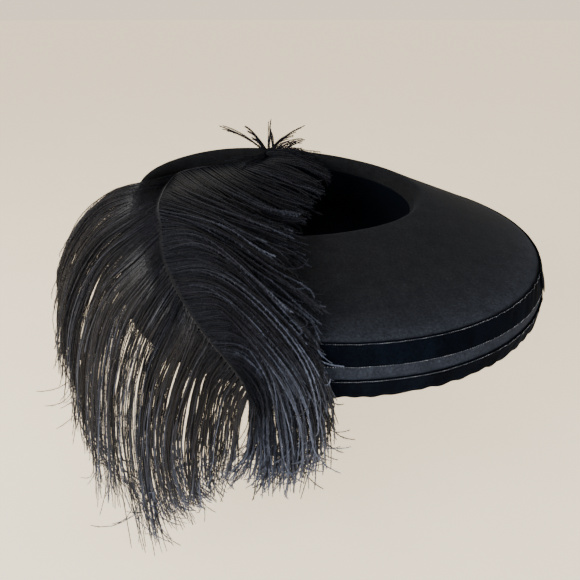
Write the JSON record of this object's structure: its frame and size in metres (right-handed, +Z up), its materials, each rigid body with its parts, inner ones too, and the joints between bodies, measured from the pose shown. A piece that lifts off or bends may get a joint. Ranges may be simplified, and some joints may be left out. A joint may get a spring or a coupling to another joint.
{
  "type": "picture hat with ostrich plume",
  "caption": "Wide oval felt picture hat with a rolled rim round a sunken velvet crown, velvet ribbons round its shallow side and a long drooping ostrich plume.",
  "frame": {"origin": "middle of the underside of the sunken crown's tip, where the top of the head meets the hat", "axes": "+Z up, +X to the wearer's front, -Y to the wearer's right, where the plume hangs"},
  "size_m": [0.455, 0.4098, 0.3331],
  "materials": {
    "felt": "matt",
    "crown_velvet": "velvet",
    "ribbon_velvet": "velvet",
    "ostrich_feather": "satin"
  },
  "bodies": {
    "root": {"felt_top": "felt", "felt_side": "felt", "felt_collar": "felt", "velvet_crown": "crown_velvet", "upper_ribbon": "ribbon_velvet", "lower_ribbon": "ribbon_velvet", "ostrich_plume": "ostrich_feather"}
  },
  "joints": []
}
